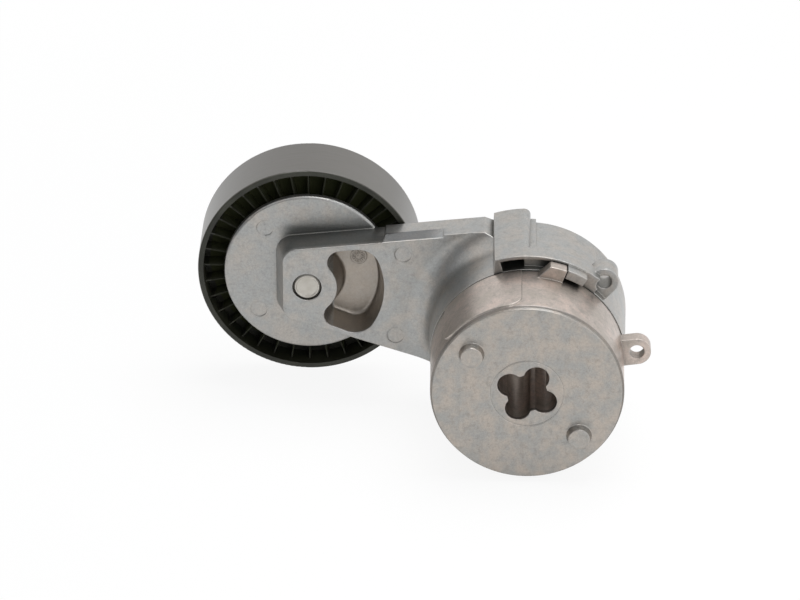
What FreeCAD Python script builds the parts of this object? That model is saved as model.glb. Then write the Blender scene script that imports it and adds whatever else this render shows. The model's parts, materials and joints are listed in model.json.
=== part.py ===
"""Automatic belt tensioner with a smooth idler pulley, as a parametric assembly.

Frame: the pivot runs along Y.  The mounting face is the plane y = 0 and looks towards -Y,
+Z is up, and the origin is the centre of the mounting face.  The pulley hangs on the arm
towards -X.  All lengths are millimetres and all angles are degrees, counted from +X towards +Z.
"""
import FreeCAD, Part
import os
import re

import Sketcher

SIZES = {
    # spring case (the part that is bolted down)
    "base_radius": 32.5,
    "base_depth": 25.7,
    "base_wall": 4.1,
    "base_floor": 6.0,
    "base_draft": 0.3,
    "rim_step": 0.7,
    "rim_height": 0.9,
    "ring_radius": 12.3,
    "ring_groove": 0.25,
    "bolt_bore": 13.0,
    "cored_bore": 13.5,
    "plain_bore_length": 12.0,
    "lobe_count": 4,
    "lobe_radius": 4.3,
    "lobe_circle": 6.5,
    "lobe_angle": 62.0,
    "lobe_tip_round": 0.7,
    "locator_circle": 23.7,
    "locator_radius": 4.3,
    "locator_height": 2.8,
    "locator_taper": 14.0,
    "upper_locator_angle": 142.0,
    "lower_locator_angle": 318.0,
    "patch_height": 0.35,
    "patch_front": 1.8,
    "patch_start": 94.0,
    "patch_sweep": 54.0,
    "patch_corner": 5.0,
    # pivot post
    "post_radius": 13.5,
    "post_foot": 2.0,
    "tenon_radius": 11.0,
    "swage_radius": 12.0,
    "swage_height": 0.9,
    # stops and lock-pin lugs
    "tab_step": 4.8,
    "tab_radius": "=base_radius + tab_step",
    "tab_thickness": 4.2,
    "tab_start": 69.8,
    "tab_sweep": 8.7,
    "tab_ramp": 6.4,
    "stop_gap_angle": 0.6,
    "lip_step": 1.8,
    "lip_thickness": 3.2,
    "lip_inner": "=base_radius + lip_step",
    "lip_outer": "=lip_inner + lip_thickness",
    "lip_sweep": 11.0,
    "lip_reach": 4.4,
    "lip_root": 0.5,
    "lug_step": 4.8,
    "lug_circle": "=base_radius + lug_step",
    "lug_radius": 4.75,
    "pin_hole": 5.0,
    "pin_relief": 0.3,
    "case_lug_angle": 8.1,
    "case_lug_thickness": 4.6,
    "case_lug_setback": 0.4,
    "arm_lug_angle": 46.6,
    "arm_lug_setback": 3.2,
    "arm_lug_length": 7.8,
    # arm hub
    "cup_gap": 0.6,
    "hub_back": 61.0,
    "hub_step": 0.6,
    "hub_draft": 0.9,
    "hub_front_radius": "=base_radius + hub_step",
    "hub_back_radius": "=hub_front_radius + hub_draft",
    "hub_edge": 1.2,
    "hub_wall": 4.4,
    "hub_end_wall": 6.0,
    "tube_front": 11.0,
    "bush_wall": 1.6,
    "running_gap": 0.05,
    "tube_wall": 2.65,
    "tube_radius": "=post_radius + running_gap + bush_wall + tube_wall",
    "collar_step": 5.0,
    "collar_radius": "=hub_front_radius + collar_step",
    "collar_lip": 1.2,
    "collar_land": 7.0,
    "collar_depth": 8.8,
    "collar_tail_step": 1.8,
    "collar_tail_radius": "=hub_front_radius + collar_tail_step",
    "collar_start": 48.0,
    "collar_end": 107.5,
    "tower_sweep": 17.7,
    "tower_lean": 4.7,
    "tower_round": 1.8,
    "tower_taper": 0.8,
    "rib_step": 2.2,
    "rib_radius": "=hub_front_radius + rib_step",
    "rib_sweep": 3.8,
    "slot_wall": 2.4,
    "slot_depth": 2.6,
    "slot_start": 58.0,
    "window_sweep": 12.5,
    "window_depth": 16.0,
    # arm beam and its raised end
    "arm_length": 76.8,
    "arm_angle": 170.0,
    "beam_face": 49.0,
    "beam_back": 60.4,
    "beam_under_slope": 18.0,
    "box_left": 8.2,
    "box_top": 13.75,
    "box_bottom": 13.1,
    "box_corner": 5.0,
    "beam_flare": 3.0,
    "top_flare": 0.4,
    "neck_reach": 29.0,
    "neck_rise": 1.7,
    "under_inset": 7.0,
    "blend_radius": 8.0,
    "rail_front": 53.5,
    "rail_start": 50.0,
    "rail_step": 1.1,
    "rail_end": 11.6,
    "rail_chamfer": 3.4,
    "shield_radius": 29.1,
    "shield_front": 60.0,
    "shield_thickness": 2.4,
    "shield_round": 0.9,
    "kidney_inner": 10.3,
    "kidney_outer": 26.5,
    "kidney_high": 39.0,
    "kidney_low": 46.0,
    "kidney_outer_high": 22.0,
    "kidney_outer_low": 31.5,
    "kidney_floor_angle": 248.0,
    "kidney_roof_angle": 96.0,
    "kidney_small_round": 4.6,
    "kidney_large_round": 7.5,
    "kidney_depth": 10.0,
    "kidney_draft": 12.0,
    "kidney_floor_radius": 1.2,
    "boss_radius": 11.5,
    "mark_radius": 2.9,
    "shield_mark_circle": 22.5,
    "shield_mark_high": 131.0,
    "shield_mark_low": 220.0,
    "beam_mark_circle": 35.4,
    "beam_mark_high": 21.6,
    "beam_mark_low": 329.0,
    "mark_depth": 0.2,
    # pulley
    "pulley_radius": 38.25,
    "pulley_width": 22.3,
    "pulley_setback": 1.4,
    "rim_wall": 1.9,
    "rim_round": 0.5,
    "web_thickness": 3.0,
    "pulley_hub_wall": 3.4,
    "pulley_hub_width": 14.0,
    "rib_count": 36,
    "rib_thickness": 0.5,
    "rib_setback": 3.5,
    # ball bearing
    "bearing_bore": 17.0,
    "bearing_outside": 40.0,
    "bearing_width": 12.0,
    "ball_count": 8,
    "ball_radius": 3.375,
    "ball_circle": 14.25,
    "race_gap": 0.06,
    "inner_shoulder": 12.1,
    "outer_shoulder": 16.4,
    "ring_chamfer": 0.5,
    "cage_wall": 1.8,
    "cage_width": 8.0,
    "pocket_gap": 0.08,
    "seal_thickness": 0.8,
    "seal_recess": 0.3,
    "seal_gap": 0.25,
    # pulley bolt and what it clamps
    "shank_radius": 5.0,
    "thread_gap": 0.02,
    "shank_chamfer": 0.9,
    "flange_radius": 10.5,
    "flange_thickness": 1.6,
    "head_width": 15.0,
    "head_height": 6.0,
    "cover_radius": 18.6,
    "cover_thickness": 1.2,
    "cover_dish": 0.8,
    "cover_flat": 11.0,
    # torsion spring, damping and retaining pieces
    "wire_height": 5.0,
    "coil_inner_gap": 0.4,
    "coil_outer_gap": 0.8,
    "coil_end_gap": 0.3,
    "coil_turns": 5.5,
    "seat_thickness": 1.0,
    "back_seat_thickness": 2.5,
    "sleeve_wall": 0.9,
    "sleeve_length": 30.0,
    "shoe_wall": 1.9,
    "shoe_front": 14.0,
    "shoe_width": 9.0,
    "shoe_sweep": 294.0,
    "leaf_wall": 0.6,
    "leaf_width": 7.0,
    "carrier_angle": 100.0,
    "carrier_sweep": 60.0,
    "carrier_wall": 2.8,
    "carrier_gap": 0.3,
    "carrier_root": 4.0,
    "seal_ring_wall": 2.0,
    "seal_ring_depth": 2.0,
    "seal_ring_inset": 2.3,
    "seal_ring_circle": "=base_radius - seal_ring_inset",
    "washer_radius": 23.0,
    "washer_thickness": 1.0,
    "plate_radius": 25.0,
    "plate_thickness": 2.5,
}

# Places that several pieces share, worked out from the sizes above.
ARM_FRONT = "(base_depth + cup_gap)"
CUP_RADIUS = "(base_radius - base_wall)"
POST_BACK = "(hub_back + running_gap + washer_thickness)"
POST_END = f"({POST_BACK} + plate_thickness)"
BUSH_BORE = "(post_radius + running_gap)"
HUB_BORE = f"({BUSH_BORE} + bush_wall)"
HUB_CAVITY = "(hub_front_radius - hub_wall)"
PULLEY_X = "(arm_length * cos(arm_angle))"
PULLEY_Z = "(arm_length * sin(arm_angle))"
PULLEY_FRONT = "(shield_front + pulley_setback)"
PULLEY_MIDDLE = f"({PULLEY_FRONT} + pulley_width / 2)"
BEARING_FRONT = f"({PULLEY_MIDDLE} - bearing_width / 2)"
BEARING_BACK = f"({PULLEY_MIDDLE} + bearing_width / 2)"
SHANK_BORE = "(shank_radius + thread_gap)"
CAGE_RADIUS = "(ball_circle - cage_wall / 2)"
CASE_LUG_FRONT = "(base_depth - case_lug_setback - case_lug_thickness)"
ARM_LUG_FRONT = f"({ARM_FRONT} + arm_lug_setback)"
COVER_BACK = f"({BEARING_BACK} + cover_thickness)"
CAVITY_BACK = "(hub_back - hub_end_wall)"
COIL_INNER = "(tube_radius + sleeve_wall + coil_inner_gap)"
COIL_OUTER = f"({CUP_RADIUS} - carrier_gap - carrier_wall - coil_outer_gap)"
COIL_FRONT = "(base_floor + seat_thickness + running_gap)"
COIL_BACK = f"({CAVITY_BACK} - back_seat_thickness - coil_end_gap)"

# How near to its place an edge has to lie for a fillet to pick it.
CLOSE = 0.01

doc = FreeCAD.newDocument("tensioner")
sheet = doc.addObject("Spreadsheet::Sheet", "sizes")
nodes = []


def fill_sheet():
    """Write every size as a named cell; a text that starts with = is worked out from others."""
    for row, (alias, size) in enumerate(SIZES.items(), start=1):
        sheet.set(f"A{row}", alias)
        sheet.set(f"B{row}", str(size))
        sheet.setAlias(f"B{row}", alias)
    doc.recompute()


def bound(text):
    """Return an expression in which every size name points at its cell."""
    return re.sub(r"[a-z]\w*", lambda m: f"sizes.{m[0]}" if m[0] in SIZES else m[0], text)


def value(text):
    """Return what an expression comes to now."""
    return float(sheet.evalExpression(bound(text)))


def bind(thing, prop, text):
    """Tie a property to an expression over the sizes."""
    thing.setExpression(prop, bound(text))


# --- sketches -------------------------------------------------------------------------------

def new_body(label, on_pulley=False):
    """Start a sub-part; pulley pieces are drawn about their own axis and placed on the arm."""
    body = doc.addObject("PartDesign::Body", label)
    body.Label = label
    if on_pulley:
        bind(body, "Placement.Base.x", PULLEY_X)
        bind(body, "Placement.Base.z", PULLEY_Z)
    nodes.append(body)
    return body


def origin_feature(body, role):
    """Return one of the body's own origin planes or axes."""
    return next(item for item in body.Origin.OriginFeatures if item.Role == role)


def new_sketch(body, name, role):
    """Attach an empty sketch to an origin plane of the body."""
    sketch = body.newObject("Sketcher::SketchObject", name)
    sketch.AttachmentSupport = [(origin_feature(body, role), "")]
    sketch.MapMode = "FlatFace"
    return sketch


def face_sketch(body, name, depth, turn=None, centre=None):
    """Start a sketch that looks along Y: its x is X, its y is Z, and it lies at y = depth."""
    sketch = new_sketch(body, name, "XZ_Plane")
    if centre is not None:
        bind(sketch, "AttachmentOffset.Base.x", centre[0])
        bind(sketch, "AttachmentOffset.Base.y", centre[1])
    if turn is not None:
        sketch.AttachmentOffset = FreeCAD.Placement(
            FreeCAD.Vector(), FreeCAD.Rotation(FreeCAD.Vector(0, 0, 1), value(turn)))
        bind(sketch, "AttachmentOffset.Rotation.Angle", turn)
    bind(sketch, "AttachmentOffset.Base.z", f"-({depth})")
    return sketch


def section_sketch(body, name, angle=None, centre=None):
    """Start a sketch whose y is the pivot axis and whose x points outward at an angle.

    An angle with a minus sign before it is counted from +X towards -Z.
    """
    sketch = new_sketch(body, name, "XY_Plane")
    if angle is not None:
        turn = angle.lstrip("-")
        axis = FreeCAD.Vector(0, 1 if angle.startswith("-") else -1, 0)
        sketch.AttachmentOffset = FreeCAD.Placement(
            FreeCAD.Vector(), FreeCAD.Rotation(axis, value(turn)))
        bind(sketch, "AttachmentOffset.Rotation.Angle", turn)
    if centre is not None:
        bind(sketch, "AttachmentOffset.Base.x", centre[0])
        bind(sketch, "AttachmentOffset.Base.z", centre[1])
    return sketch


def pin_point(sketch, shape, end, across, along):
    """Hold a point of a sketch at two bound distances from the sketch's origin."""
    for kind, text in (("DistanceX", across), ("DistanceY", along)):
        index = sketch.addConstraint(Sketcher.Constraint(kind, -1, 1, shape, end, value(text)))
        bind(sketch, f"Constraints[{index}]", text)


def draw_circle(sketch, across, along, radius):
    """Draw a bound circle."""
    centre = FreeCAD.Vector(value(across), value(along), 0)
    shape = sketch.addGeometry(Part.Circle(centre, FreeCAD.Vector(0, 0, 1), value(radius)))
    pin_point(sketch, shape, 3, across, along)
    index = sketch.addConstraint(Sketcher.Constraint("Radius", shape, value(radius)))
    bind(sketch, f"Constraints[{index}]", radius)


def draw_outline(sketch, corners):
    """Draw a closed outline of bound corners.

    A corner is (across, along), with a third entry where the edge that leaves it is an arc:
    (radius, centre across, centre along, +1 or -1), the sign +1 when the arc runs anticlockwise.
    """
    shapes = []
    for corner, following in zip(corners, corners[1:] + corners[:1]):
        start = FreeCAD.Vector(value(corner[0]), value(corner[1]), 0)
        end = FreeCAD.Vector(value(following[0]), value(following[1]), 0)
        if len(corner) == 2:
            shapes.append((sketch.addGeometry(Part.LineSegment(start, end)), 1, 2))
            continue
        radius, across, along, turn = corner[2]
        centre = FreeCAD.Vector(value(across), value(along), 0)
        circle = Part.Circle(centre, FreeCAD.Vector(0, 0, 1), value(radius))
        first, last = (start, end) if turn > 0 else (end, start)
        sweep = circle.parameter(first), circle.parameter(last)
        ends = (1, 2) if turn > 0 else (2, 1)
        shapes.append((sketch.addGeometry(Part.ArcOfCircle(circle, *sweep)), *ends))
    for number, (shape, start, end) in enumerate(shapes):
        following, next_start, _ = shapes[(number + 1) % len(shapes)]
        sketch.addConstraint(Sketcher.Constraint("Coincident", shape, end, following, next_start))
    for number, ((shape, start, _), corner) in enumerate(zip(shapes, corners)):
        pin_point(sketch, shape, start, corner[0], corner[1])
        if len(corner) == 3:
            following = corners[(number + 1) % len(corners)]
            hold_arc_centre(sketch, shape, corner, following)


def hold_arc_centre(sketch, shape, start, end):
    """Bind the coordinate of an arc's centre that its two ends leave open."""
    _, across, along, _ = start[2]
    wide = abs(value(end[0]) - value(start[0]))
    tall = abs(value(end[1]) - value(start[1]))
    kind, text = ("DistanceX", across) if tall > wide else ("DistanceY", along)
    index = sketch.addConstraint(Sketcher.Constraint(kind, -1, 1, shape, 3, value(text)))
    bind(sketch, f"Constraints[{index}]", text)


# --- features -------------------------------------------------------------------------------

def add_feature(body, kind, name, sketch):
    """Add a feature that is driven by a sketch."""
    feature = body.newObject(f"PartDesign::{kind}", name)
    feature.Profile = sketch
    return feature


def settle(body, feature, before=None):
    """Recompute, and for a cut make sure that it took something away."""
    doc.recompute()
    if before is not None and feature.Shape.Volume >= before:
        raise RuntimeError(f"{body.Label}: {feature.Name} removes nothing")
    return feature


def pad(body, name, sketch, length, taper=None):
    """Extrude a face sketch towards +Y."""
    feature = add_feature(body, "Pad", name, sketch)
    feature.Reversed = True
    bind(feature, "Length", length)
    if taper is not None:
        bind(feature, "TaperAngle", taper)
    return settle(body, feature)


def pocket(body, name, sketch, length=None):
    """Cut a face sketch towards +Y, through everything when no length is given."""
    before = body.Tip.Shape.Volume
    feature = add_feature(body, "Pocket", name, sketch)
    feature.Reversed = False
    if length is None:
        feature.SideType = "Symmetric"
        feature.Type = "ThroughAll"
    else:
        bind(feature, "Length", length)
    return settle(body, feature, before)


def turned(body, kind, name, sketch, sweep=None):
    """Revolve or groove a section sketch about the Y direction, evenly to both sides."""
    before = body.Tip.Shape.Volume if kind == "Groove" else None
    feature = add_feature(body, kind, name, sketch)
    feature.ReferenceAxis = (sketch, ["V_Axis"])
    feature.Midplane = True
    if sweep is None:
        feature.Angle = 360
    else:
        bind(feature, "Angle", sweep)
    return settle(body, feature, before)


def revolve(body, name, corners, angle=None, sweep=None, centre=None):
    """Add a ring, or a stretch of one about the given angle, from a bound section."""
    sketch = section_sketch(body, f"{name}_section", angle, centre)
    draw_outline(sketch, corners)
    return turned(body, "Revolution", name, sketch, sweep)


def groove(body, name, corners, angle=None, sweep=None, centre=None):
    """Cut a ring, or a stretch of one about the given angle, from a bound section."""
    sketch = section_sketch(body, f"{name}_section", angle, centre)
    draw_outline(sketch, corners)
    return turned(body, "Groove", name, sketch, sweep)


def polar_copies(body, name, originals, count):
    """Repeat features evenly about the Y axis."""
    pattern = body.newObject("PartDesign::PolarPattern", name)
    pattern.Originals = originals
    pattern.Axis = (origin_feature(body, "Y_Axis"), [""])
    pattern.Angle = 360
    bind(pattern, "Occurrences", count)
    body.Tip = pattern
    return settle(body, pattern)


def round_edges(body, name, radius, chosen):
    """Fillet the edges of the body that the test picks."""
    base = body.Tip
    edges = [f"Edge{n}" for n, edge in enumerate(base.Shape.Edges, start=1) if chosen(edge)]
    if not edges:
        raise RuntimeError(f"{body.Label}: {name} finds no edge")
    feature = body.newObject("PartDesign::Fillet", name)
    feature.Base = (base, edges)
    bind(feature, "Radius", radius)
    return settle(body, feature)


def rectangle(inner, outer, front, back):
    """Return the corners of a plain ring section."""
    return [(inner, front), (outer, front), (outer, back), (inner, back)]


def polar(radius, angle):
    """Return the bound corner at a radius and an angle about the sketch's origin."""
    return f"({radius}) * cos({angle})", f"({radius}) * sin({angle})"


def tongue(body, name, angle, front, length):
    """Add a round-ended lug that stands on the shell and carries a lock-pin hole."""
    sketch = face_sketch(body, f"{name}_outline", front, angle)
    draw_outline(sketch, [
        (CUP_RADIUS + " + base_wall / 2", "-lug_radius"),
        ("lug_circle", "-lug_radius", ("lug_radius", "lug_circle", "0", 1)),
        ("lug_circle", "lug_radius"),
        (CUP_RADIUS + " + base_wall / 2", "lug_radius"),
    ])
    return pad(body, name, sketch, length)


def pin_bore(body, name, angle, front, length, relief="0"):
    """Cut a lock-pin hole through a lug, or a wider way for the pin beside one."""
    sketch = face_sketch(body, f"{name}_circle", front, angle)
    draw_circle(sketch, "lug_circle", "0", f"pin_hole / 2 + {relief}")
    return pocket(body, name, sketch, length)


# --- spring case (fixed) --------------------------------------------------------------------

def make_base_housing():
    """Die-cast spring case: cup, hollow pivot post, locators, stop tab and lock-pin lug."""
    body = new_body("base_housing")
    revolve(body, "cup", [
        ("0", "0"),
        ("ring_radius - ring_groove", "0"),
        ("ring_radius", "ring_groove"),
        ("ring_radius + ring_groove", "0"),
        ("base_radius - rim_step", "0"),
        ("base_radius - rim_step", "rim_height"),
        ("base_radius", "rim_height + rim_step"),
        ("base_radius + base_draft", "base_depth"),
        (CUP_RADIUS, "base_depth"),
        (CUP_RADIUS, "base_floor"),
        ("post_radius + post_foot", "base_floor"),
        ("post_radius", "base_floor + post_foot"),
        ("post_radius", POST_BACK),
        ("tenon_radius", POST_BACK),
        ("tenon_radius", POST_END),
        ("swage_radius", POST_END),
        ("tenon_radius", f"{POST_END} + swage_height"),
        ("0", f"{POST_END} + swage_height"),
    ])
    revolve(body, "cast_patch", rectangle(
        CUP_RADIUS + " + base_wall / 2", "base_radius + base_draft + patch_height",
        "patch_front", "base_depth"), "patch_start + patch_sweep / 2", "patch_sweep")
    round_patch(body)
    add_stop_tab(body)
    tongue(body, "lock_lug", "case_lug_angle", CASE_LUG_FRONT, "case_lug_thickness")
    pin_bore(body, "lock_hole", "case_lug_angle", CASE_LUG_FRONT, "case_lug_thickness")
    for name in ("upper_locator", "lower_locator"):
        add_locator(body, name)
    cut_pivot_bore(body)
    return body


def round_patch(body):
    """Round the two front corners of the cast patch."""
    front = value("patch_front")
    low = value("base_radius")

    def is_patch_corner(edge):
        ends = [vertex.Point for vertex in edge.Vertexes]
        if len(ends) != 2 or any(abs(end.y - front) > CLOSE for end in ends):
            return False
        radii = [FreeCAD.Vector(end.x, 0, end.z).Length for end in ends]
        return min(radii) > low - CLOSE and max(radii) - min(radii) > CLOSE

    round_edges(body, "patch_corners", "patch_corner", is_patch_corner)


def add_stop_tab(body):
    """Stand the stop tab on the case: a square working side and a ramp behind it."""
    root = f"({CUP_RADIUS} + base_wall / 2)"
    sketch = face_sketch(body, "stop_tab_outline", "base_depth - tab_thickness")
    draw_outline(sketch, [
        polar(root, "tab_start"),
        (*polar("tab_radius", "tab_start"), ("tab_radius", "0", "0", 1)),
        polar("tab_radius", "tab_start + tab_sweep"),
        polar("base_radius", "tab_start + tab_sweep + tab_ramp"),
        polar(root, "tab_start + tab_sweep + tab_ramp"),
    ])
    pad(body, "stop_tab", sketch, "tab_thickness")


def add_locator(body, name):
    """Stand a tapered locating boss on the mounting face."""
    sketch = face_sketch(body, f"{name}_circle", "0")
    draw_circle(sketch, *polar("locator_circle", f"{name}_angle"), "locator_radius")
    feature = add_feature(body, "Pad", name, sketch)
    bind(feature, "Length", "locator_height")
    bind(feature, "TaperAngle", "-locator_taper")
    settle(body, feature)


def cut_pivot_bore(body):
    """Bore the post: a lobed opening from the front and a plain bolt bore at the back."""
    cored_length = f"{POST_END} - plain_bore_length"
    sketch = face_sketch(body, "bolt_bore_circle", "0")
    draw_circle(sketch, "0", "0", "bolt_bore / 2")
    pocket(body, "bolt_bore_cut", sketch)
    sketch = face_sketch(body, "cored_bore_circle", "0")
    draw_circle(sketch, "0", "0", "cored_bore / 2")
    pocket(body, "cored_bore_cut", sketch, cored_length)
    sketch = face_sketch(body, "lobe_circle_sketch", "0", "lobe_angle")
    draw_circle(sketch, "lobe_circle", "0", "lobe_radius")
    lobe = pocket(body, "lobe", sketch, cored_length)
    polar_copies(body, "lobes", [lobe], "lobe_count")
    tip = value("cored_bore / 2")

    def is_lobe_tip(edge):
        ends = [vertex.Point for vertex in edge.Vertexes]
        if len(ends) != 2 or abs(ends[0].y - ends[1].y) < value("base_depth"):
            return False
        return all(abs(FreeCAD.Vector(end.x, 0, end.z).Length - tip) < CLOSE for end in ends)

    round_edges(body, "lobe_tips", "lobe_tip_round", is_lobe_tip)


# --- arm casting ----------------------------------------------------------------------------

def make_arm_casting():
    """Die-cast arm: spring hub, stop collar, tower, beam, dust shield and bearing boss."""
    body = new_body("arm_casting")
    revolve(body, "hub", [
        (HUB_BORE, "tube_front"),
        ("tube_radius", "tube_front"),
        ("tube_radius", ARM_FRONT),
        ("hub_front_radius", ARM_FRONT),
        ("hub_back_radius", "hub_back - hub_edge"),
        ("hub_back_radius - hub_edge", "hub_back"),
        (HUB_BORE, "hub_back"),
    ])
    add_beam(body)
    add_rail(body)
    add_collar(body)
    add_shield(body)
    add_stop_lip(body)
    tongue(body, "lock_lug", "arm_lug_angle", ARM_LUG_FRONT, "arm_lug_length")
    pin_bore(body, "lock_hole", "arm_lug_angle", ARM_LUG_FRONT, "arm_lug_length")
    pin_bore(body, "pin_relief_cut", "arm_lug_angle", ARM_FRONT, "arm_lug_setback", "pin_relief")
    groove(body, "spring_cavity", rectangle("tube_radius", HUB_CAVITY, ARM_FRONT, CAVITY_BACK))
    groove(body, "seal_groove", rectangle(
        "seal_ring_circle - seal_ring_wall / 2", "seal_ring_circle + seal_ring_wall / 2",
        ARM_FRONT, f"{ARM_FRONT} + seal_ring_depth"))
    add_shoe_carrier(body)
    sketch = face_sketch(body, "bolt_hole_circle", "0")
    draw_circle(sketch, PULLEY_X, PULLEY_Z, SHANK_BORE)
    pocket(body, "bolt_hole", sketch)
    cut_kidney_pocket(body)
    cut_ejector_marks(body)
    return body


def beam_outline(sketch, flare, top_flare):
    """Draw the beam across the arm; the flares move its free edges outward.

    Beside the hub the outline stands higher than the beam does, so that the blend there has a
    whole face to end on.  The trim afterwards takes that off.
    """
    left = f"({PULLEY_X} - box_left - {flare})"
    bottom = f"({PULLEY_Z} - box_bottom - {flare})"
    corner = f"(box_corner + {flare} / 2)"
    reach = f"({left} + {corner})"
    top = f"({beam_top(reach)} + {top_flare})"
    above = "(hub_front_radius + 2 * blend_radius)"
    under = "(hub_front_radius - under_inset)"
    draw_outline(sketch, [
        (left, f"{top} - {corner}"),
        (left, f"{bottom} + {corner}", (corner, reach, f"{bottom} + {corner}", 1)),
        (reach, bottom),
        (f"-{under}", f"{bottom} + ({under} + {reach}) * tan(beam_under_slope)"),
        polar(HUB_CAVITY, "180"),
        ("-rail_end", HUB_CAVITY),
        ("-rail_end", above),
        ("-neck_reach", above),
        ("-neck_reach", f"{beam_top('-neck_reach')} + {top_flare}"),
        (reach, top, (corner, reach, f"{top} - {corner}", 1)),
    ])


def beam_top(across):
    """Return the height of the beam's upper edge on its face, at a place across the arm."""
    left = f"({PULLEY_X} - box_left)"
    low = f"({PULLEY_Z} + box_top)"
    high = "(hub_front_radius + neck_rise)"
    return f"({low} + ({across} - {left}) * ({high} - {low}) / (-rail_end - {left}))"


def add_beam(body):
    """Loft the beam from its face to its wider back, and blend it into the hub."""
    face = face_sketch(body, "beam_face_outline", "beam_face")
    beam_outline(face, "0", "0")
    back = face_sketch(body, "beam_back_outline", "beam_back")
    beam_outline(back, "beam_flare", "top_flare")
    loft = add_feature(body, "AdditiveLoft", "beam", face)
    loft.Sections = [back]
    loft.Ruled = True
    settle(body, loft)
    front = value("beam_face")
    hub = value("hub_front_radius"), value("hub_back_radius")

    def is_beam_root(edge):
        middle = edge.valueAt((edge.FirstParameter + edge.LastParameter) / 2)
        radius = FreeCAD.Vector(middle.x, 0, middle.z).Length
        return abs(middle.y - front) < CLOSE and middle.x < 0 and hub[0] < radius < hub[1]

    round_edges(body, "beam_blend", "blend_radius", is_beam_root)


def add_rail(body):
    """Raise the back of the beam's upper side into a rail, and trim it off beside the hub."""
    outlines = []
    for name, depth, step in (
            ("rail_foot", "beam_face", "0"),
            ("rail_crest", "rail_front", "rail_step"),
            ("rail_back", "beam_back", "rail_step")):
        sketch = face_sketch(body, f"{name}_outline", depth)
        draw_outline(sketch, [
            ("-rail_start", f"{beam_top('-rail_start')} - rail_chamfer"),
            ("-neck_reach + rail_step", f"{beam_top('-neck_reach')} - rail_chamfer"),
            ("-neck_reach + rail_step", f"{beam_top('-neck_reach + rail_step')} + {step}"),
            (f"-rail_start + {step}", f"{beam_top('-rail_start')} + {step}"),
        ])
        outlines.append(sketch)
    rail = add_feature(body, "AdditiveLoft", "rail", outlines[0])
    rail.Sections = outlines[1:]
    rail.Ruled = True
    settle(body, rail)
    end = "(rail_end + rail_chamfer)"
    above = "(hub_front_radius + 3 * blend_radius)"
    sketch = face_sketch(body, "trim_outline", ARM_FRONT)
    draw_outline(sketch, [
        ("-neck_reach - rail_step", f"{beam_top('-neck_reach - rail_step')} + rail_step"),
        (f"-{end}", f"{beam_top(f'-{end}')} + rail_step"),
        ("-rail_end", f"{beam_top('-rail_end')} - rail_step / 2"),
        ("-rail_end", above),
        ("-neck_reach - rail_step", above),
    ])
    pocket(body, "trim", sketch, f"beam_back - {ARM_FRONT}")


def add_collar(body):
    """Add the stop collar with its slot, and the tower behind the end of it."""
    root = f"({HUB_CAVITY} + hub_wall / 2)"
    edge = "hub_back - hub_edge"
    tower_side = "(collar_end - tower_sweep)"
    beside = "(collar_end - tower_sweep / 2)"
    revolve(body, "collar", [
        (root, ARM_FRONT),
        ("collar_radius", ARM_FRONT),
        ("collar_radius", f"{ARM_FRONT} + collar_land"),
        ("collar_tail_radius", f"{ARM_FRONT} + collar_depth"),
        ("hub_back_radius", edge),
        (root, edge),
    ], f"(collar_start + {beside}) / 2", f"{beside} - collar_start")
    revolve(body, "tower_rib", [
        (root, f"{ARM_FRONT} + collar_depth"),
        ("rib_radius", f"{ARM_FRONT} + collar_depth"),
        ("rib_radius", edge),
        (root, "hub_back"),
    ], f"{tower_side} - rib_sweep / 2 + tower_sweep / 4", "rib_sweep + tower_sweep / 2")
    add_tower(body)
    slot_stop = "(collar_end - slot_wall)"
    slot = rectangle("hub_front_radius", "collar_radius - collar_lip", ARM_FRONT, ARM_FRONT)
    groove(body, "slot", with_depth(slot, "slot_depth"),
           f"(slot_start + {slot_stop}) / 2", f"{slot_stop} - slot_start")
    groove(body, "window", with_depth(slot, "window_depth"),
           f"{slot_stop} - window_sweep / 2", "window_sweep")


def add_tower(body):
    """Raise the tower at the end of the collar: it has draft and an upright left side."""
    root = f"({HUB_CAVITY} + hub_wall / 2)"
    side = "(collar_end - tower_sweep)"
    centre = "(collar_radius - tower_round)"
    bend = f"({side} + asin(tower_round / {centre}) / 1 deg)"
    sketch = face_sketch(body, "tower_outline", ARM_FRONT)
    draw_outline(sketch, [
        polar(root, side),
        (*polar(f"sqrt({centre}^2 - tower_round^2)", side),
         ("tower_round", *polar(centre, bend), 1)),
        (*polar("collar_radius", bend), ("collar_radius", "0", "0", 1)),
        polar("collar_radius", "collar_end"),
        polar(root, "collar_end + tower_lean"),
    ])
    pad(body, "tower", sketch, f"hub_back - {ARM_FRONT}", "tower_taper")


def with_depth(section, depth):
    """Return a flat ring section deepened towards the back."""
    (inner, front), (outer, _) = section[:2]
    return rectangle(inner, outer, front, f"{front} + {depth}")


def add_stop_lip(body):
    """Add the lip that stands in front of the joint and meets the stop tab."""
    revolve(body, "stop_lip", rectangle(
        "lip_inner", "lip_outer", f"{ARM_FRONT} - lip_reach",
        f"{ARM_FRONT} + slot_depth + lip_root"),
        "tab_start - stop_gap_angle - lip_sweep / 2", "lip_sweep")


def add_shield(body):
    """Add the round dust shield in front of the pulley and the boss that the bearing sits on."""
    back = "(shield_front + shield_thickness)"
    shoulder = "(shield_radius - shield_round)"
    revolve(body, "shield", [
        ("0", "shield_front"),
        (shoulder, "shield_front",
         ("shield_round", shoulder, "shield_front + shield_round", 1)),
        ("shield_radius", "shield_front + shield_round"),
        ("shield_radius", back),
        ("boss_radius", back),
        ("boss_radius", BEARING_FRONT),
        ("0", BEARING_FRONT),
    ], centre=(PULLEY_X, PULLEY_Z))


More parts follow.
